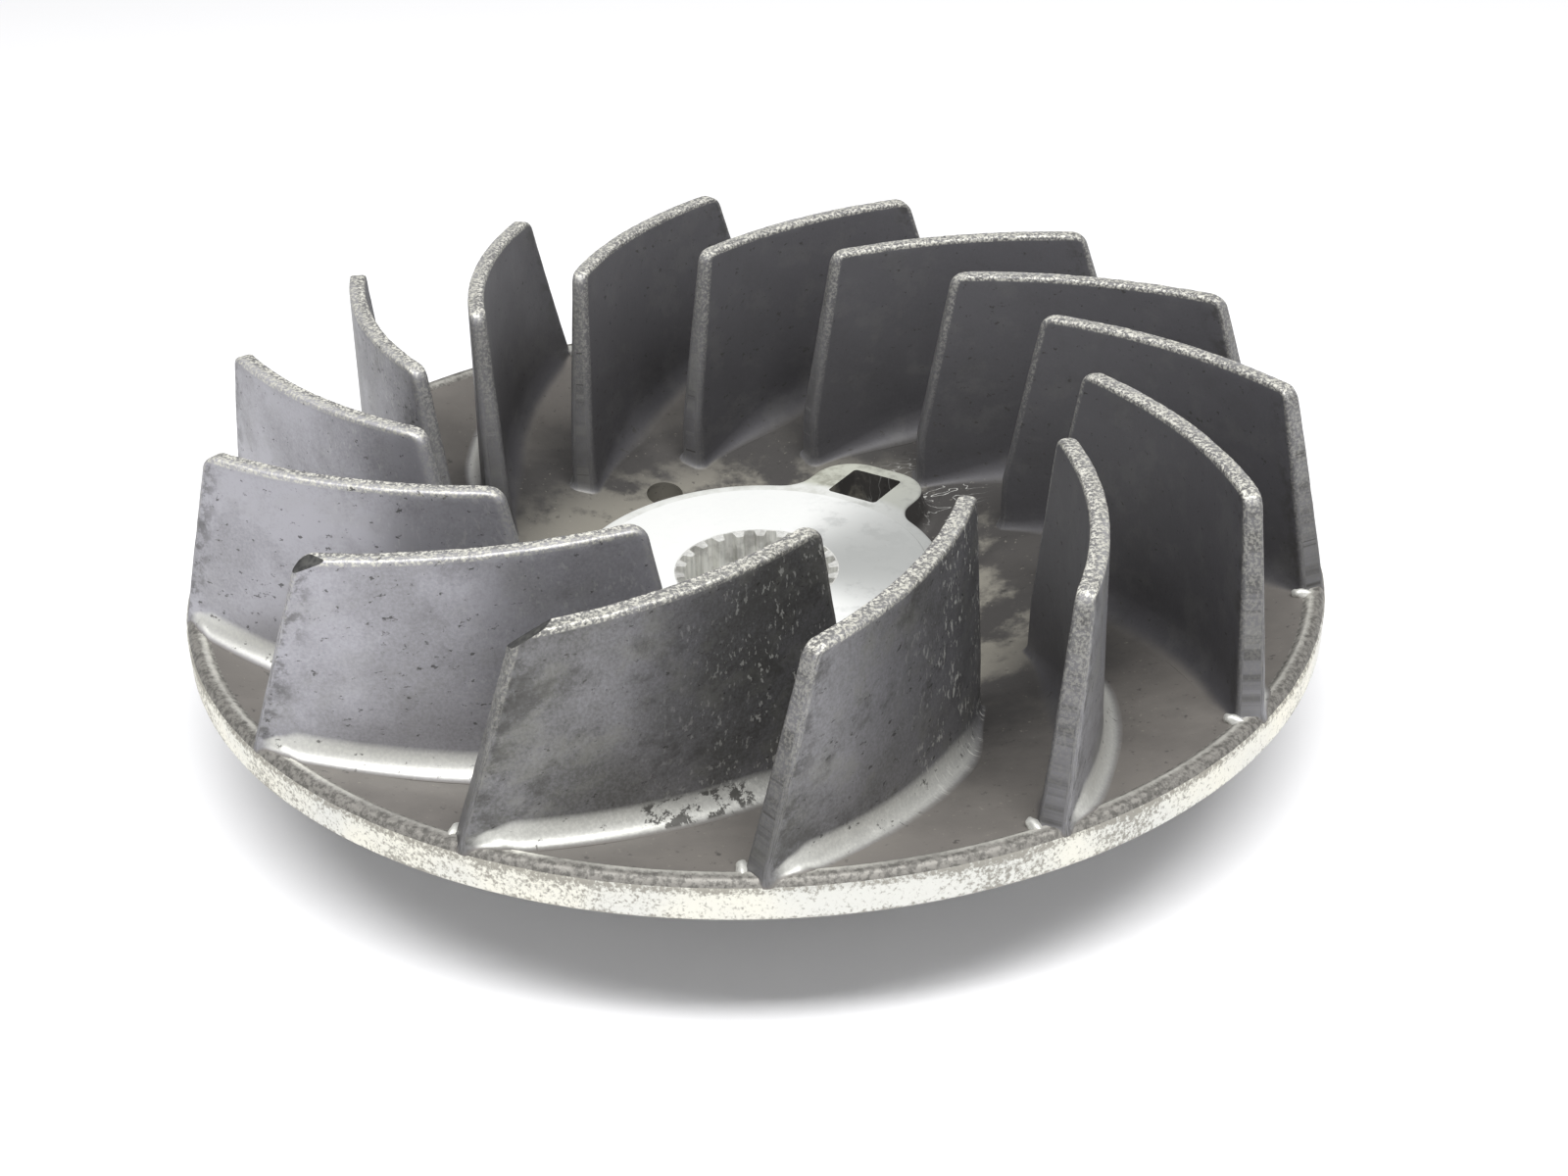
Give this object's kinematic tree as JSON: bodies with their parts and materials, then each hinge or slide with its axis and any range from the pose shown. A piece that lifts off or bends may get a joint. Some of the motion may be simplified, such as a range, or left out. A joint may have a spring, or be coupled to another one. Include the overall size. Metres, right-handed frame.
{
  "type": "flywheel",
  "caption": "Cast engine flywheel with swept fan blades, a machined rim band and a splined steel hub with a square-holed ear.",
  "frame": {"origin": "centre of the hub's lower end face, on the wheel's axis", "axes": "+Z along the wheel's axis towards the blades; the ear points 57 degrees counter-clockwise from +X, seen from above"},
  "size_m": [0.155, 0.155, 0.0491],
  "materials": {
    "cast_aluminium": "dark weathered casting with worn bright edges and a turned rim band",
    "blade_casting": "dark weathered casting, tops worn bright",
    "hub_steel": "fine turned face, greyer teeth"
  },
  "bodies": {
    "root": {"fan_disc": "cast_aluminium", "splined_hub": "hub_steel", "blade_01": "blade_casting", "blade_02": "blade_casting", "blade_03": "blade_casting", "blade_04": "blade_casting", "blade_05": "blade_casting", "blade_06": "blade_casting", "blade_07": "blade_casting", "blade_08": "blade_casting", "blade_09": "blade_casting", "blade_10": "blade_casting", "blade_11": "blade_casting", "blade_12": "blade_casting", "blade_13": "blade_casting", "blade_14": "blade_casting"}
  },
  "joints": []
}
